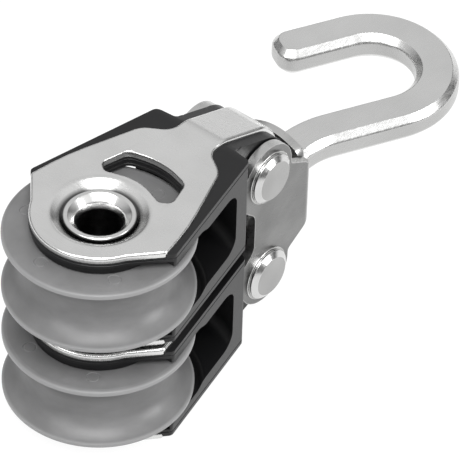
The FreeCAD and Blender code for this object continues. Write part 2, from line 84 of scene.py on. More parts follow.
# Fine mould lines round the nylon cheeks: heights from the middle of a unit, width and depth.
LINE_HEIGHTS = (8.2, 7.3)
LINE_WIDTH = 0.22
LINE_DEPTH = 0.22

# Angles: how far each sheave has turned, and the edges of a CAD shape that get rounded.
MARK_PHASES = {"upper": math.radians(-8.0), "lower": math.radians(37.0)}
CAD_EDGE_ANGLE = math.radians(28.0)


# ------------------------------------------------------------ outlines

def rounded(corners, step, closed=True):
    """Points along an outline of corners (x, y, radius), with arcs cut every step degrees."""
    same_place = 1e-4
    points = []
    count = len(corners)
    for index, (x, y, radius) in enumerate(corners):
        here = Vector((x, y))
        ends = index in (0, count - 1) and not closed
        if radius <= 0 or ends:
            points.append(here)
            continue
        last = Vector(corners[index - 1][:2])
        following = Vector(corners[(index + 1) % count][:2])
        into = (last - here).normalized()
        out = (following - here).normalized()
        angle = into.angle(out)
        reach = radius / math.tan(angle / 2)
        center = here + (into + out).normalized() * (radius / math.sin(angle / 2))
        first = here + into * reach - center
        turn = math.pi - angle
        if into.x * out.y - into.y * out.x > 0:
            turn = -turn
        cuts = max(2, math.ceil(math.degrees(abs(turn)) / step))
        for cut in range(cuts + 1):
            part = turn * cut / cuts
            spun = Vector((first.x * math.cos(part) - first.y * math.sin(part),
                           first.x * math.sin(part) + first.y * math.cos(part)))
            points.append(center + spun)
    clean = []
    for point in points:
        if not clean or (point - clean[-1]).length > same_place:
            clean.append(point)
    if closed and (clean[0] - clean[-1]).length < same_place:
        clean.pop()
    return clean


def clockwise_circle(x, y, radius, count):
    """Points round a circle, clockwise, as a hole's outline needs."""
    return [Vector((x + radius * math.cos(-math.tau * k / count),
                    y + radius * math.sin(-math.tau * k / count)))
            for k in range(count)]


def area_sign(points):
    """Positive when the points run anticlockwise."""
    total = sum(a.x * b.y - b.x * a.y for a, b in zip(points, points[1:] + points[:1]))
    return 1 if total > 0 else -1


def away_normals(points):
    """Mitred directions to the right of the travel, away from the material."""
    least_spread = 0.35
    normals = []
    for index, here in enumerate(points):
        last = points[index - 1]
        following = points[(index + 1) % len(points)]
        one = (here - last).normalized()
        two = (following - here).normalized()
        sum_normal = Vector((one.y, -one.x)) + Vector((two.y, -two.x))
        sum_normal.normalize()
        spread = max(least_spread, sum_normal.dot(Vector((one.y, -one.x))))
        normals.append(sum_normal / spread)
    return normals


# ------------------------------------------------------------ mesh builders (millimetres)

def add_slab(bm, loops):
    """Plate with rounded rims: each loop is (points, profile), a profile being (out, z) steps."""
    tops = []
    bottoms = []
    for points, profile in loops:
        normals = away_normals(points)
        rings = []
        for out, z in profile:
            rings.append([bm.verts.new((p.x + n.x * out, p.y + n.y * out, z))
                          for p, n in zip(points, normals)])
        for upper, lower in zip(rings, rings[1:]):
            join(bm, upper, lower)
        tops.append(rings[0])
        bottoms.append(rings[-1])
    fill(bm, tops, False)
    fill(bm, bottoms, True)


def join(bm, one, two):
    """Band of faces between two rings of the same number of vertices."""
    for k in range(len(one)):
        j = (k + 1) % len(one)
        bm.faces.new((one[k], two[k], two[j], one[j]))


def fill(bm, rings, flip):
    """Flat cap across one outer ring and any holes in it."""
    flat = [v for ring in rings for v in ring]
    for triangle in geometry.tessellate_polygon([[v.co for v in ring] for ring in rings]):
        corners = [flat[i] for i in triangle]
        if len(set(corners)) == 3:
            normal = geometry.normal(*[v.co for v in corners])
            if (normal.z > 0) == flip:
                corners.reverse()
            if bm.faces.get(corners) is None:
                bm.faces.new(corners)


def rim(high, low, top_round, bottom_round, cuts):
    """Profile down the edge of a plate, with quarter rounds at its top and bottom."""
    angles = [math.pi / 2 * k / cuts for k in range(cuts + 1)]
    steps = [(-top_round * (1 - math.sin(angle)), high - top_round * (1 - math.cos(angle)))
             for angle in angles]
    steps += [(-bottom_round * (1 - math.cos(angle)), low + bottom_round * (1 - math.sin(angle)))
              for angle in angles]
    return steps


def add_lathe(bm, profile, segments, closed=True):
    """Surface of revolution about Z of (radius, z) points; a point on the axis makes a tip."""
    rings = []
    for radius, z in profile:
        if radius == 0:
            rings.append([bm.verts.new((0, 0, z))])
        else:
            rings.append([bm.verts.new((radius * math.cos(math.tau * k / segments),
                                        radius * math.sin(math.tau * k / segments), z))
                          for k in range(segments)])
    pairs = list(zip(rings, rings[1:]))
    if closed:
        pairs.append((rings[-1], rings[0]))
    for one, two in pairs:
        for k in range(segments):
            j = (k + 1) % segments
            loop = [one[k % len(one)], two[k % len(two)], two[j % len(two)], one[j % len(one)]]
            unique = []
            for v in loop:
                if v not in unique:
                    unique.append(v)
            if len(unique) > 2:
                bm.faces.new(unique)


def make_piece(name, bm, body, material, node, matrix=None, sharp=40.0):
    """Turn a millimetre mesh into a named piece that rides on a body and stands for its node."""
    same_place = 1e-4
    bmesh.ops.remove_doubles(bm, verts=bm.verts, dist=same_place)
    bmesh.ops.recalc_face_normals(bm, faces=bm.faces)
    bmesh.ops.transform(bm, matrix=Matrix.Scale(MM, 4), verts=bm.verts)
    if matrix is not None:
        bmesh.ops.transform(bm, matrix=matrix, verts=bm.verts)
    if bm.calc_volume(signed=True) < 0:
        bmesh.ops.reverse_faces(bm, faces=bm.faces)
    mesh = bpy.data.meshes.new(name)
    bm.to_mesh(mesh)
    bm.free()
    piece = bpy.data.objects.new(name, mesh)
    bpy.context.scene.collection.objects.link(piece)
    shade(piece, sharp)
    mesh.materials.append(material)
    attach(piece, body)
    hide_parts(node)


def shade(piece, sharp):
    """Smooth shading with hard edges over an angle, and normals that keep flats flat."""
    mesh = piece.data
    mesh.shade_smooth()
    mesh.set_sharp_from_angle(angle=math.radians(sharp))
    weighted = piece.modifiers.new("flat_normals", "WEIGHTED_NORMAL")
    weighted.keep_sharp = True
    weighted.weight = 100


def lifted(z):
    """Placement at a height in millimetres."""
    return Matrix.Translation((0, 0, z * MM))


def cut_across(bm, place, normal, near):
    """Add edges wherever a plane crosses the mesh."""
    geom = bm.verts[:] + bm.edges[:] + bm.faces[:]
    bmesh.ops.bisect_plane(bm, geom=geom, plane_co=place, plane_no=normal, dist=near)


def carve_line(bm, outline, height):
    """Fine groove round the walls that stand on an outline, at one height."""
    on_height = 1e-3
    on_outline = 0.03
    for z in (height - LINE_WIDTH / 2, height, height + LINE_WIDTH / 2):
        cut_across(bm, (0, 0, z * MM), (0, 0, 1), 1e-8)
    count = len(outline)
    for v in bm.verts:
        if abs(v.co.z / MM - height) > on_height:
            continue
        here = v.co.xy / MM
        near = [geometry.intersect_point_line(here, outline[k - 1], outline[k]) for k in range(count)]
        gaps = [(here - outline[k - 1].lerp(outline[k], min(1.0, max(0.0, part)))).length
                for k, (_, part) in enumerate(near)]
        if min(gaps) < on_outline:
            k = gaps.index(min(gaps))
            along = (outline[k] - outline[k - 1]).normalized()
            v.co.x -= along.y * LINE_DEPTH * MM
            v.co.y += along.x * LINE_DEPTH * MM


def from_cad(node, width, segments, body, material, lines=()):
    """Copy of a CAD node's shape with its flats merged, lines carved and edges rounded over."""
    same_place = 2e-7
    flat = math.radians(1.0)
    bm = bmesh.new()
    bm.from_mesh(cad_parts[node].data)
    bmesh.ops.remove_doubles(bm, verts=bm.verts, dist=same_place)
    bmesh.ops.dissolve_limit(bm, angle_limit=flat, verts=bm.verts, edges=bm.edges)
    for outline, height in lines:
        carve_line(bm, outline, height)
    mesh = bpy.data.meshes.new(node + "_finished")
    bm.to_mesh(mesh)
    bm.free()
    piece = bpy.data.objects.new(mesh.name, mesh)
    bpy.context.scene.collection.objects.link(piece)
    mesh.shade_smooth()
    mesh.materials.append(material)
    bevel = piece.modifiers.new("edge_round", "BEVEL")
    bevel.width = width * MM
    bevel.segments = segments
    bevel.limit_method = "ANGLE"
    bevel.angle_limit = CAD_EDGE_ANGLE
    bevel.harden_normals = False
    weighted = piece.modifiers.new("flat_normals", "WEIGHTED_NORMAL")
    weighted.weight = 100
    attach(piece, body)
    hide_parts(node)


def finish_cad(node, material):
    """Give a CAD node that stays visible its finish."""
    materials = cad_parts[node].data.materials
    materials.clear()
    materials.append(material)


# ------------------------------------------------------------ materials

def fill_ramp(ramp, stops):
    """Give a colour ramp its (position, value or colour) stops."""
    elements = ramp.color_ramp.elements
    while len(elements) < len(stops):
        elements.new(0.5)
    for element, (position, value) in zip(elements, stops):
        element.position = position
        color = value if isinstance(value, tuple) else (value, value, value)
        element.color = (*color, 1)


def times(color, factor):
    """Colour made lighter or darker."""
    return tuple(min(1.0, c * factor) for c in color)


class Nodes:
    """Short way to wire one procedural material."""

    def __init__(self, name):
        self.material = bpy.data.materials.new(name)
        self.material.use_nodes = True
        self.tree = self.material.node_tree
        self.tree.nodes.clear()
        self.shader = self.add("ShaderNodeBsdfPrincipled")
        output = self.add("ShaderNodeOutputMaterial")
        self.link(self.shader.outputs[0], output.inputs["Surface"])
        self.coords = self.add("ShaderNodeTexCoord").outputs["Object"]

    def add(self, kind, **values):
        """New node; each value is a setting of the node or, failing that, one of its inputs."""
        node = self.tree.nodes.new(kind)
        for key, value in values.items():
            if hasattr(node, key):
                setattr(node, key, value)
            else:
                node.inputs[key.replace("_", " ")].default_value = value
        return node

    def link(self, output, socket):
        """Wire an output to an input."""
        self.tree.links.new(output, socket)

    def mapped(self, scale, rotation=(0, 0, 0)):
        """Object coordinates in millimetres, stretched by a scale per axis."""
        mapping = self.add("ShaderNodeMapping")
        mapping.inputs["Scale"].default_value = [s / MM for s in scale]
        mapping.inputs["Rotation"].default_value = rotation
        self.link(self.coords, mapping.inputs["Vector"])
        return mapping.outputs[0]

    def noise(self, scale, detail, roughness=0.55, rotation=(0, 0, 0)):
        """Noise whose features are about 1 / scale millimetres on each axis."""
        node = self.add("ShaderNodeTexNoise", Scale=1.0, Detail=detail, Roughness=roughness)
        self.link(self.mapped(scale, rotation), node.inputs["Vector"])
        return node.outputs[0]

    def ramp(self, factor, stops):
        """Colour ramp of (position, value or colour) stops."""
        node = self.add("ShaderNodeValToRGB")
        fill_ramp(node, stops)
        self.link(factor, node.inputs[0])
        return node.outputs[0]

    def bump(self, height, distance):
        """Relief up to a distance in millimetres."""
        node = self.add("ShaderNodeBump", Distance=distance * MM)
        self.link(height, node.inputs["Height"])
        return node.outputs[0]

    def squares(self, vector):
        """Squares of a vector's three parts."""
        split = self.add("ShaderNodeSeparateXYZ")
        self.link(vector, split.inputs[0])
        return [self.maths("POWER", part, 2.0) for part in split.outputs]

    def by_radius(self, limit, stops):
        """Ramp over the distance from the sheave axis, in shares of twice a limit in mm."""
        x, y, _ = self.squares(self.mapped((1, 1, 1)))
        radius = self.maths("POWER", self.maths("ADD", x, y), 0.5)
        return self.ramp(self.maths("MULTIPLY", radius, 0.5 / limit), stops)

    def facing_y(self):
        """Mask of the flat faces that look along the Y axis."""
        normal = self.add("ShaderNodeNewGeometry").outputs["True Normal"]
        return self.ramp(self.squares(normal)[1], [(0.75, 0.0), (0.97, 1.0)])

    def around_z(self):
        """Mask of the walls that stand along the piece's Z axis."""
        normal = self.add("ShaderNodeTexCoord").outputs["Normal"]
        return self.ramp(self.squares(normal)[2], [(0.02, 1.0), (0.3, 0.0)])

    def maths(self, operation, one, two):
        """Arithmetic on two sockets or plain values."""
        node = self.add("ShaderNodeMath", operation=operation)
        for socket, value in zip(node.inputs, (one, two)):
            if hasattr(value, "links"):
                self.link(value, socket)
            else:
                socket.default_value = value
        return node.outputs[0]

    def edges(self):
        """Mask along edges: where a rounded normal leaves the surface's own."""
        reach = 0.3
        soft = self.add("ShaderNodeBevel", Radius=reach * MM, samples=4)
        dot = self.add("ShaderNodeVectorMath", operation="DOT_PRODUCT")
        self.link(soft.outputs[0], dot.inputs[0])
        self.link(self.add("ShaderNodeNewGeometry").outputs["Normal"], dot.inputs[1])
        return self.ramp(dot.outputs["Value"], [(0.8, 1.0), (0.97, 0.0)])

    def mix(self, factor, one, two):
        """Mix of two colours, each a socket or a plain colour."""
        node = self.add("ShaderNodeMix", data_type="RGBA")
        for socket, value in zip((node.inputs[0], node.inputs[6], node.inputs[7]), (factor, one, two)):
            if isinstance(value, (tuple, float)):
                socket.default_value = (*value, 1) if isinstance(value, tuple) else value
            else:
                self.link(value, socket)
        return node.outputs[2]

    def set(self, **values):
        """Plain values or sockets for the shader's own inputs."""
        names = {"color": "Base Color", "rough": "Roughness"}
        for key, value in values.items():
            socket = self.shader.inputs[names.get(key, key.replace("_", " "))]
            if hasattr(value, "links"):
                self.link(value, socket)
            else:
                socket.default_value = (*value, 1) if isinstance(value, tuple) else value
        return self.material


def steel(name, color, rough, brush=(0.25, 3.0, 3.0), rotation=(0, 0, 0), scratch=0.0016,
          edge_lighten=1.12, blotches=0.06, bore_shade=0.0, seat=0.0, side_shade=None, walls=None):
    """Metal with brushing, blotches, lightened edges and painted shade.

    color and rough are the clean colour and the range of roughness. brush is the brushing's
    scale on each axis, rotation turns it, and scratch is its depth in mm. edge_lighten lightens
    edges and blotches darken patches. bore_shade and seat are radii within which the metal is
    painted dark, as painted shade. side_shade and walls are darker colours, painted shade, on
    the faces along Y and on the walls round Z.
    """
    n = Nodes(name)
    brushed = n.noise(brush, detail=4.0, roughness=0.65, rotation=rotation)
    blotch = n.noise((0.12, 0.12, 0.12), detail=2.0)
    gloss = n.ramp(brushed, [(0.3, rough[0]), (0.72, rough[1])])
    tone = n.ramp(blotch, [(0.35, 1.0 - blotches), (0.65, 1.0)])
    # Painted shade: flat faces along Y can be given a darker colour.
    body = n.mix(n.facing_y(), color, side_shade) if side_shade else color
    # Painted shade: walls round Z can be given a darker colour.
    body = n.mix(n.around_z(), body, walls) if walls else body
    tone = n.mix(tone, (0.0, 0.0, 0.0), body)
    # Edges get a lighter colour.
    tone = n.mix(n.edges(), tone, times(color, edge_lighten))
    # Painted shade: inside the bore's radius the colour is painted at 0.3 of itself.
    if bore_shade:
        tone = n.mix(n.by_radius(bore_shade, [(0.5, 1.0), (0.53, 0.0)]), tone, times(color, 0.3))
    # Painted shade: inside the seat's radius, round the rivet in the dish, the colour is painted at
    # 0.12 of itself.
    if seat:
        tone = n.mix(n.by_radius(seat, [(0.5, 1.0), (0.55, 0.0)]), tone, times(color, 0.12))
    return n.set(Metallic=1.0, color=tone, rough=gloss, Normal=n.bump(brushed, scratch))


def plastic(name, color, rough, grain=0.004, sheen=0.5, rim=0.0):
    """Moulded plastic: fine grain, faint flow marks, lightened edges and a painted highlight round the
    outer rim.
    """
    n = Nodes(name)
    fine = n.noise((7.0, 7.0, 7.0), detail=3.0)
    broad = n.noise((0.18, 0.18, 0.5), detail=3.0)
    tone = n.ramp(broad, [(0.3, times(color, 0.88)), (0.7, times(color, 1.1))])
    # Edges get a lighter colour.
    tone = n.mix(n.edges(), tone, tuple(c * 1.25 + 0.006 for c in color))
    # Painted highlight: beyond about 97% of the rim's radius the colour is painted 1.55 times lighter.
    if rim:
        tone = n.mix(n.by_radius(rim, [(0.485, 0.0), (0.497, 1.0)]), tone, times(color, 1.55))
    gloss = n.ramp(fine, [(0.35, rough - 0.05), (0.65, rough + 0.06)])
    return n.set(color=tone, rough=gloss, Specular_IOR_Level=sheen, Normal=n.bump(fine, grain))


# Painted shade: a dark ring is painted on the dish round the rivet's seat.
M_STRAP = steel("stainless_strap", (0.74, 0.74, 0.735), (0.20, 0.30),
                brush=(2.2, 0.3, 2.2), scratch=0.0005, seat=RIVET_SHANK + 1.5)
# Painted shade: the rivet's bore is painted dark.
M_RIVET = steel("stainless_rivet_burnished", (0.70, 0.70, 0.695), (0.16, 0.26),
                brush=(0.8, 0.8, 0.8), scratch=0.0008, bore_shade=AXLE_BORE + 0.05)
# Painted shade: the bracket's faces along Y are painted darker than its other faces.
M_BRACKET = steel("stainless_bracket", (0.66, 0.66, 0.655), (0.24, 0.40),
                  brush=(0.5, 2.0, 3.0), scratch=0.0010, edge_lighten=1.0, blotches=0.25,
                  side_shade=(0.25, 0.25, 0.248))
# Painted shade: the faces along Y, such as the pin ends, are painted darker.
M_PIN = steel("stainless_turned", (0.68, 0.68, 0.675), (0.16, 0.28),
              brush=(2.5, 0.4, 2.5), scratch=0.0010, edge_lighten=1.1, blotches=0.15,
              side_shade=(0.42, 0.42, 0.415))
# Painted shade: the hook's walls round Z are painted darker than its flats.
M_HOOK = steel("stainless_hook", (0.69, 0.69, 0.685), (0.18, 0.36),
               brush=(0.35, 3.0, 3.0), rotation=(0, 0, 0.3), scratch=0.0008, edge_lighten=1.15,
               walls=(0.5, 0.5, 0.495))
M_BUSH = steel("bronze_bush", (0.64, 0.48, 0.27), (0.28, 0.42), brush=(2.0, 0.4, 2.0))
M_CHEEK = plastic("nylon_black", (0.006, 0.006, 0.0065), 0.36, grain=0.003, sheen=0.35)
# Painted highlight: the sheave's outer rim is painted lighter.
M_SHEAVE = plastic("acetal_grey", (0.158, 0.158, 0.159), 0.36, grain=0.006, sheen=0.45,
                   rim=SHEAVE_R)
M_BALL = plastic("acetal_ball_ivory", (0.72, 0.70, 0.64), 0.2, grain=0.0005)


# ------------------------------------------------------------ strap

# Half of the strap's outline from its round end to the neck, as corners (x, y, radius).
# KINK is the direction, from the sheave axis, in which the round end meets the straight side.
KINK = math.radians(117.6)
STRAP_HALF = [
    (END_R * math.cos(KINK), END_R * math.sin(KINK), 0),
    (-0.4, 13.6, 1.0),
    (6.5, 12.35, 40.0),
    (18.8, 8.0, 3.6),
    (21.4, NECK_HALF, 3.0),
]

# Window: an inner arc round the dish, a lobe at each end and a flatter outer arc.
WINDOW_LOBE = [(7.4, 5.4, 1.0), (8.55, 7.05, 1.3), (13.2, 5.75, 2.0)]
WINDOW_OUTER = (14.8, 0.0, 12.0)
WINDOW_INNER = 8.8
WINDOW_SWEEP = math.radians(20.0)
DISH_R = 8.4

# Side view of the fold: the head's radius, the neck's slope and bend, and where the fold starts.
HEAD_R = 6.65
NECK_SLOPE = math.radians(21.0)
NECK_BEND = 6.8
FOLD_START = 23.15


def window_points():
    """Kidney-shaped window, clockwise."""
    corners = [(WINDOW_INNER / math.cos(WINDOW_SWEEP), 0.0, WINDOW_INNER)] + WINDOW_LOBE
    corners += [WINDOW_OUTER] + [(x, -y, r) for x, y, r in reversed(WINDOW_LOBE)]
    points = rounded(corners, step=5.0)
    return points if area_sign(points) < 0 else points[::-1]


def fold_path():
    """Stretches (length, turn) of the strap's middle surface round the head."""
    middle = STEEL / 2
    head_slope_x = PIN_X + HEAD_R / math.sin(NECK_SLOPE)
    bend_x = head_slope_x - STRAP_OUT / math.tan(NECK_SLOPE)
    bend_start = bend_x - NECK_BEND * math.tan(NECK_SLOPE / 2)
    across = PIN_X - bend_start
    down = STRAP_OUT - NECK_BEND
    run = across * math.cos(NECK_SLOPE) + down * math.sin(NECK_SLOPE)
    lead = (bend_start - FOLD_START, 0.0)
    bend = ((NECK_BEND - middle) * NECK_SLOPE, NECK_SLOPE)
    nose_turn = math.pi - 2 * NECK_SLOPE
    nose = ((HEAD_R - middle) * nose_turn, nose_turn)
    return [lead, bend, (run, 0.0), nose, (run, 0.0), bend, lead]


FOLD = fold_path()
FOLD_LENGTH = sum(length for length, _ in FOLD)
STRAP_FAR = 2 * FOLD_START + FOLD_LENGTH


def strap_bend(co):
    """Place a point of the laid-out strap on the folded one."""
    lift = co.z - (STRAP_OUT - STEEL / 2)
    here = Vector((FOLD_START, STRAP_OUT - STEEL / 2))
    heading = 0.0
    left = co.x - FOLD_START
    if left <= 0:
        return co
    for length, turn in FOLD:
        part = min(left, length) / length
        step = turn * part
        if turn:
            radius = length / turn
            center = here - radius * Vector((math.sin(heading), math.cos(heading)))
            here = center + radius * Vector((math.sin(heading + step), math.cos(heading + step)))
        else:
            here = here + min(left, length) * Vector((math.cos(heading), -math.sin(heading)))
        heading += step
        left -= length
        if left <= 0:
            break
    if left > 0:
        here = here + left * Vector((math.cos(heading), -math.sin(heading)))
    out = here + lift * Vector((math.sin(heading), math.cos(heading)))
    return Vector((out.x, co.y, out.y))


def fold_cuts():
    """Places along the laid-out strap where its bends need an edge."""
    degrees_a_cut = 4.0
    cuts = []
    at = FOLD_START
    for length, turn in FOLD:
        count = max(1, math.ceil(math.degrees(turn) / degrees_a_cut))
        cuts += [at + length * k / count for k in range(count)]
        at += length
    return cuts + [at]


def dish_profile():
    """Pressed dish round the rivet, as (inwards, z) steps from its upper rim to its lower one."""
    high = STRAP_OUT
    low = STRAP_OUT - STEEL
    floor = STRAP_OUT - 1.45
    underside = STRAP_OUT - 2.5
    hole = 4.64
    section = rounded([
        (DISH_R, high, 0), (7.8, high, 1.6), (5.8, floor, 0.8), (hole, floor, 0),
        (hole, underside, 0), (6.4, underside, 0.7), (7.95, low, 0.5), (DISH_R, low, 0),
    ], step=8.0, closed=False)
    return [(DISH_R - p.x, p.y) for p in section]


def make_strap(unit, z):
    """One-piece strap, laid out flat, rimmed, dished and then folded over the head."""
    tip = (END_R / math.cos(KINK), 0.0, END_R)
    near_side = [(x, -y, r) for x, y, r in STRAP_HALF]
    far = STRAP_FAR
    corners = [tip] + near_side
    corners += [(far - x, y, r) for x, y, r in reversed(near_side)]
    corners += [(far - tip[0], 0.0, END_R)]
    corners += [(far - x, -y, r) for x, y, r in near_side]
    corners += [(x, -y, r) for x, y, r in reversed(near_side)]
    outer = rounded(corners, step=5.0)
    high = STRAP_OUT
    low = STRAP_OUT - STEEL
    window = window_points()
    window_far = [Vector((far - p.x, p.y)) for p in reversed(window)]
    window_rim = rim(high, low, 0.35, 0.15, 4)
    dish = dish_profile()
    bm = bmesh.new()
    add_slab(bm, [(outer, rim(high, low, 0.55, 0.2, 5)),
                  (window, window_rim),
                  (window_far, window_rim),
                  (clockwise_circle(0, 0, DISH_R, 120), dish),
                  (clockwise_circle(far, 0, DISH_R, 120), dish)])
    for x in fold_cuts():
        cut_across(bm, (x, 0, 0), (1, 0, 0), 1e-5)
    for v in bm.verts:
        v.co = strap_bend(v.co)
    make_piece(unit + "_strap_steel", bm, unit + "_unit", M_STRAP,
               unit + "_strap", lifted(z))


def cheek_points():
    """Outline of a nylon cheek in plan, anticlockwise: past the steel's corner, then the head."""
    past_steel = 5.7 / 4.6
    head_half = 5.8
    kink = Vector(STRAP_HALF[0][:2])
    corner = kink.lerp(Vector(STRAP_HALF[1][:2]), past_steel)
    half = [(kink.x, kink.y, 0), (corner.x, corner.y, 1.0), (24.3, 9.35, 1.2),
            (24.7, head_half, 0.7), (PIN_X + 8.9, head_half, 0)]
    corners = [(END_R / math.cos(KINK), 0.0, END_R)] + [(x, -y, r) for x, y, r in half]
    return rounded(corners + half[::-1], step=5.0)


# ------------------------------------------------------------ turned pieces

def make_rivet(unit, z):
    """Hollow rivet with burnished flares at both ends."""
    lip = RIVET_HIGH.x / MM
    top = (RIVET_HIGH.z - RIVET_LOW.z) / 2 / MM
    seat = STRAP_OUT - 1.43
    half = [(RIVET_SHANK, seat, 0), (lip - 0.45, seat, 0.1), (lip, seat + 0.25, 0.15),
            (lip - 0.05, top, 0.3), (lip - 0.7, top, 0.35),
            (AXLE_BORE + 0.45, top - 1.1, 1.2), (AXLE_BORE, top - 2.2, 0.9)]
    lower = [(r, -h, radius) for r, h, radius in reversed(half)]
    bm = bmesh.new()
    add_lathe(bm, [(p.x, p.y) for p in rounded(half + lower, step=7.0)], 120)
    make_piece(unit + "_rivet", bm, unit + "_unit", M_RIVET,
               unit + "_axle_rivet", lifted(z))


FLAT_EDGE = SHEAVE_R - 2.0
SHEAVE_BORE = 8.6


def arc(center, middle, radius, reach, cuts, outwards):
    """Points (radius, z) of an arc that runs from reach to -reach about the radial direction."""
    points = []
    for k in range(cuts + 1):
        angle = reach - 2 * reach * k / cuts
        points.append((center + outwards * radius * math.cos(angle),
                       middle + radius * math.sin(angle)))
    return points


def sheave_profile():
    """Groove side of the sheave, from the top flat round the rim and groove to the bottom."""
    lip = SHEAVE_HALF - 0.95
    deep = 11.2
    sagitta = SHEAVE_R - deep
    radius = (lip ** 2 + sagitta ** 2) / (2 * sagitta)
    groove = arc(deep + radius, 0.0, radius, math.asin(lip / radius), 28, -1)
    crown = rounded([(FLAT_EDGE, SHEAVE_HALF, 0), (SHEAVE_R - 0.75, SHEAVE_HALF, 0.8),
                     (SHEAVE_R, SHEAVE_HALF - 0.3, 0.4), (SHEAVE_R, lip, 0)],
                    step=9.0, closed=False)
    top = [(p.x, p.y) for p in crown]
    bottom = [(r, -h) for r, h in reversed(top)]
    return top + groove[1:-1] + bottom


def race_profile():
    """Bore side of the sheave: two ball races between plain lands."""
    row = 2.4
    race = 1.55
    ball_ring = 7.7
    reach = math.acos((SHEAVE_BORE - ball_ring) / race)
    races = [point for middle in (row, -row) for point in arc(ball_ring, middle, race, reach, 8, 1)]
    return [(SHEAVE_BORE, SHEAVE_HALF)] + races + [(SHEAVE_BORE, -SHEAVE_HALF)]


def ring_at(bm, radius, z):
    """Vertices at a radius and a height, in order round the axis."""
    near = 1e-3
    ring = [v for v in bm.verts if abs(v.co.z - z) < near and abs(v.co.xy.length - radius) < near]
    return sorted(ring, key=lambda v: math.atan2(v.co.y, v.co.x))


def add_mark(bm, x, y, side):
    """Ejector mark sunk into a flat; returns the ring that the flat has to leave open."""
    spot = clockwise_circle(x, y, 1.12, 28)
    normals = away_normals(spot)
    levels = [[bm.verts.new((p.x + n.x * out, p.y + n.y * out, side * (SHEAVE_HALF + dz)))
               for p, n in zip(spot, normals)]
              for out, dz in ((0.0, 0.0), (0.06, -0.1), (0.2, -0.1), (0.26, -0.02))]
    for one, two in zip(levels, levels[1:]):
        join(bm, one, two)
    bm.faces.new(levels[-1])
    return levels[0]


def make_sheave(unit, z, phase):
    """Grooved acetal sheave with ejector marks moulded in both flats."""
    marks = 6
    mark_ring = 11.75
    segments = 144
    bm = bmesh.new()
    add_lathe(bm, sheave_profile(), segments, closed=False)
    add_lathe(bm, race_profile(), segments, closed=False)
    for side in (1, -1):
        level = side * SHEAVE_HALF
        rings = [ring_at(bm, FLAT_EDGE, level), ring_at(bm, SHEAVE_BORE, level)[::-1]]
        for k in range(marks):
            angle = phase + math.tau * k / marks
            spot_ring = add_mark(bm, mark_ring * math.cos(angle), mark_ring * math.sin(angle), side)
            rings.append(spot_ring)
        fill(bm, rings, side < 0)
    make_piece(unit + "_sheave_moulding", bm, unit + "_wheel", M_SHEAVE,
               unit + "_sheave", lifted(z), sharp=30.0)


def make_pin(unit, z):
    """Head pin: collar, turned head with a bevel, and a faced end with turning marks."""
    face = BRACKET_HIGH.y / MM
    top = PIN_HIGH.y / MM
    collar = 4.65
    collar_top = face + 0.4
    neck = 4.22
    head = 4.3
    half = [(2.5, face, 0), (collar, face, 0), (collar, collar_top, 0.12), (neck, collar_top, 0.05),
            (neck, collar_top + 0.1, 0.0), (head, collar_top + 0.18, 0.0),
            (head, top - 0.62, 0.12), (3.4, top, 0.1)]
    rings = [(p.x, p.y) for p in rounded(half, step=15.0, closed=False)]
    turning_marks = 8
    for k in range(turning_marks):
        radius = 3.2 * (1 - k / turning_marks)
        rings += [(radius, top - 0.012), (radius - 0.12, top - 0.035), (radius - 0.25, top - 0.01)]
    rings += [(0.0, top - 0.02)]
    lower = [(r, -h) for r, h in reversed(rings)]
    bm = bmesh.new()
    add_lathe(bm, lower + rings, 96, closed=False)
    turn = Matrix.Rotation(-math.pi / 2, 4, "X")
    place = Matrix.Translation((PIN_X * MM, 0, z * MM)) @ turn
    make_piece(unit + "_pin_turned", bm, "head", M_PIN,
               unit + "_head_pin", place, sharp=25.0)


# ------------------------------------------------------------ hook

def hook_center_line():
    """Root, set-off bend, bow and tip leg, as in the frame's hook."""
    angle = math.radians(27.0)
    along = Vector((math.cos(angle), -math.sin(angle)))
    outward = Vector((-math.sin(angle), -math.cos(angle)))
    bow = Vector((69.7, 2.1))
    radius = 10.5
    start = bow + outward * radius
    set_off = start.x + start.y / math.tan(angle)
    one = start + along * radius
    two = bow - outward * radius + along * radius
    tip = bow - outward * radius - along * 12.6
    return [(43.1, 0.0, 0), (set_off, 0.0, 15.0), (one.x, one.y, radius), (two.x, two.y, radius),
            (tip.x, tip.y, 0)]


def offset_corners(corners, distance):
    """Corners of a path moved to its left, with each bend's radius changed to suit."""
    moved = []
    for index, (x, y, radius) in enumerate(corners):
        here = Vector((x, y))
        before = Vector(corners[max(index - 1, 0)][:2])
        after = Vector(corners[min(index + 1, len(corners) - 1)][:2])
        coming = (here - before).normalized() if index else (after - here).normalized()
        going = (after - here).normalized() if index + 1 < len(corners) else coming
        miter = Vector((-coming.y, coming.x)) + Vector((-going.y, going.x))
        shift = miter * (2 * distance / miter.length_squared)
        left_turn = coming.x * going.y - coming.y * going.x > 0
        grown = radius - distance if left_turn else radius + distance
        moved.append((x + shift.x, y + shift.y, grown if radius else 0))
    return moved


def bar_outline():
    """Outline of the hook's bar in plan, anticlockwise, with its root and tip rounded."""
    half_width = 3.55
    root_round = 1.6
    tip_round = 2.9
    line = hook_center_line()
    right = offset_corners(line, -half_width)
    left = offset_corners(line, half_width)
    for side in (right, left):
        side[0] = (*side[0][:2], root_round)
        side[-1] = (*side[-1][:2], tip_round)
    outline = rounded(right + left[::-1], step=4.0)
    return outline if area_sign(outline) > 0 else outline[::-1]


def bar_edge():
    """Edge of the bar as (out, z) steps: a softened bevel above and below a plain wall."""
    high = 2.5
    across = 1.15
    down = 1.3
    inside = -2.0
    soft = rounded([(inside, high, 0), (-across, high, 0.35), (0.0, high - down, 1.1),
                    (0.0, down - high, 1.1), (-across, -high, 0.35), (inside, -high, 0)],
                   step=7.0, closed=False)
    return [(p.x, p.y) for p in soft[1:-1]]


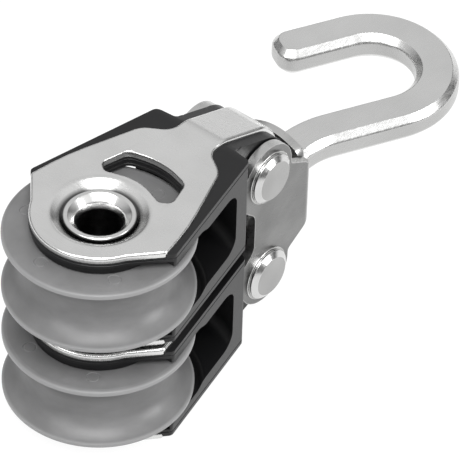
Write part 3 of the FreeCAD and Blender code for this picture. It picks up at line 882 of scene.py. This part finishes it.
def make_hook():
    """Flat-bar hook: satin flats, softened bevels, and the peened neck behind it."""
    bm = bmesh.new()
    neck_r = 2.2
    peen_r = 3.2
    peen_top = 1.2
    inside_bar = 4.4
    neck = [(0.0, inside_bar), (neck_r, inside_bar), (neck_r, peen_top), (peen_r, peen_top),
            (peen_r, 0.5), (2.9, 0.12), (2.3, 0.0), (0.0, 0.0)]
    add_lathe(bm, neck, 48, closed=False)
    turn = Matrix.Translation((HOOK_LOW.x / MM, 0, 0)) @ Matrix.Rotation(math.pi / 2, 4, "Y")
    bmesh.ops.transform(bm, matrix=turn, verts=bm.verts)
    add_slab(bm, [(bar_outline(), bar_edge())])
    make_piece("hook_bar", bm, "hook_swivel_body", M_HOOK, "hook", sharp=25.0)


# ------------------------------------------------------------ assembly

for unit_name, unit_z in (("upper", MID_Z), ("lower", -MID_Z)):
    make_strap(unit_name, unit_z)
    make_rivet(unit_name, unit_z)
    make_sheave(unit_name, unit_z, MARK_PHASES[unit_name])
    make_pin(unit_name, unit_z)
    for cheek, side in (("_cheek_top", 1), ("_cheek_bottom", -1)):
        mould_lines = [(cheek_points(), unit_z + side * LINE_HEIGHTS[0])]
        mould_lines += [(window_points(), unit_z + side * height) for height in LINE_HEIGHTS]
        from_cad(unit_name + cheek, 0.3, 3, unit_name + "_unit", M_CHEEK,
                 lines=mould_lines)
    for inner, finish in (("_bearing_hub", M_CHEEK), ("_balls_top_row", M_BALL),
                          ("_balls_bottom_row", M_BALL), ("_head_bush", M_BUSH)):
        finish_cad(unit_name + inner, finish)
from_cad("bracket", 0.22, 3, "head", M_BRACKET)
make_hook()
from_cad("hook_washer", 0.15, 2, "hook_swivel_body", M_PIN)


# ------------------------------------------------------------ stage, light and camera

# Brightness of the surround from the horizon (0) to straight up (1).
WORLD_STOPS = [(0.0, 0.05), (0.2, 0.16), (0.42, 0.68), (0.66, 0.82), (0.9, 0.7)]

# Soft boxes: name, place, the X it is aimed at, width, height and power.
SOFT_BOXES = (
    ("key_box", (-0.26, -0.21, 0.62), 0.02, 0.46, 0.4, 3.9),
    ("front_box", (-0.5, -0.42, 0.24), 0.02, 0.3, 0.25, 0.08),
    ("left_box", (-0.46, 0.06, 0.36), 0.02, 0.22, 0.22, 0.6),
    ("right_box", (0.22, -0.46, 0.22), 0.02, 0.2, 0.2, 1.1),
    ("edge_box", (0.03, -0.37, 0.33), 0.03, 0.26, 0.14, 0.038),
    ("neck_box", (0.47, 0.22, 0.09), 0.03, 0.22, 0.14, 0.07),
)


def add_area(name, location, aim_x, width, height, power):
    """Soft box aimed at a point on the X axis."""
    data = bpy.data.lights.new(name, "AREA")
    data.shape = "RECTANGLE"
    data.size = width
    data.size_y = height
    data.energy = power
    light = bpy.data.objects.new(name, data)
    bpy.context.scene.collection.objects.link(light)
    light.location = location
    aim = Vector((aim_x, 0, 0)) - Vector(location)
    light.rotation_euler = aim.to_track_quat("-Z", "Y").to_euler()


def make_stage():
    """Pale floor just under the lower cheek; it glows a little, so that it stays white."""
    middle_x = 0.03
    gap = 0.00002
    bm = bmesh.new()
    bmesh.ops.create_grid(bm, x_segments=8, y_segments=8, size=1.5)
    mesh = bpy.data.meshes.new("floor")
    bm.to_mesh(mesh)
    bm.free()
    floor = bpy.data.objects.new("floor", mesh)
    bpy.context.scene.collection.objects.link(floor)
    floor.location = (middle_x, 0, CAD_BOX[0][2] - gap)
    n = Nodes("pale_floor")
    mesh.materials.append(n.set(color=(0.12, 0.12, 0.12), rough=0.8, Specular_IOR_Level=0.1,
                                Emission_Color=(1.0, 1.0, 1.0), Emission_Strength=0.92))


def make_world():
    """White surround that darkens towards the horizon, for contrast in the steel."""
    world = bpy.data.worlds.new("studio")
    bpy.context.scene.world = world
    world.use_nodes = True
    tree = world.node_tree
    background = tree.nodes["Background"]
    coords = tree.nodes.new("ShaderNodeTexCoord")
    split = tree.nodes.new("ShaderNodeSeparateXYZ")
    ramp = tree.nodes.new("ShaderNodeValToRGB")
    tree.links.new(coords.outputs["Generated"], split.inputs[0])
    tree.links.new(split.outputs["Z"], ramp.inputs[0])
    tree.links.new(ramp.outputs[0], background.inputs[0])
    fill_ramp(ramp, WORLD_STOPS)


def make_camera():
    """Camera at the photograph's angle: turned, raised and slightly rolled."""
    turn = math.radians(-51.36)
    rise = math.radians(42.56)
    roll = math.radians(1.88)
    distance = 0.8058
    aside = 0.020156
    above = 0.011613
    back = Vector((math.sin(turn) * math.cos(rise), -math.cos(turn) * math.cos(rise), math.sin(rise)))
    right = Vector((math.cos(turn), math.sin(turn), 0))
    up = back.cross(right)
    right_rolled = right * math.cos(roll) + up * math.sin(roll)
    up_rolled = up * math.cos(roll) - right * math.sin(roll)
    data = bpy.data.cameras.new("camera")
    data.sensor_width = 36
    data.lens = 410.55
    data.clip_start = 0.05
    data.clip_end = 20
    camera = bpy.data.objects.new("camera", data)
    bpy.context.scene.collection.objects.link(camera)
    rotation = Matrix((right_rolled, up_rolled, back)).transposed().to_4x4()
    place = right_rolled * aside + up_rolled * above + back * distance
    camera.matrix_world = Matrix.Translation(place) @ rotation
    bpy.context.scene.camera = camera


make_stage()
make_world()
make_camera()
for box in SOFT_BOXES:
    add_area(*box)
bpy.context.scene.view_settings.view_transform = "Standard"
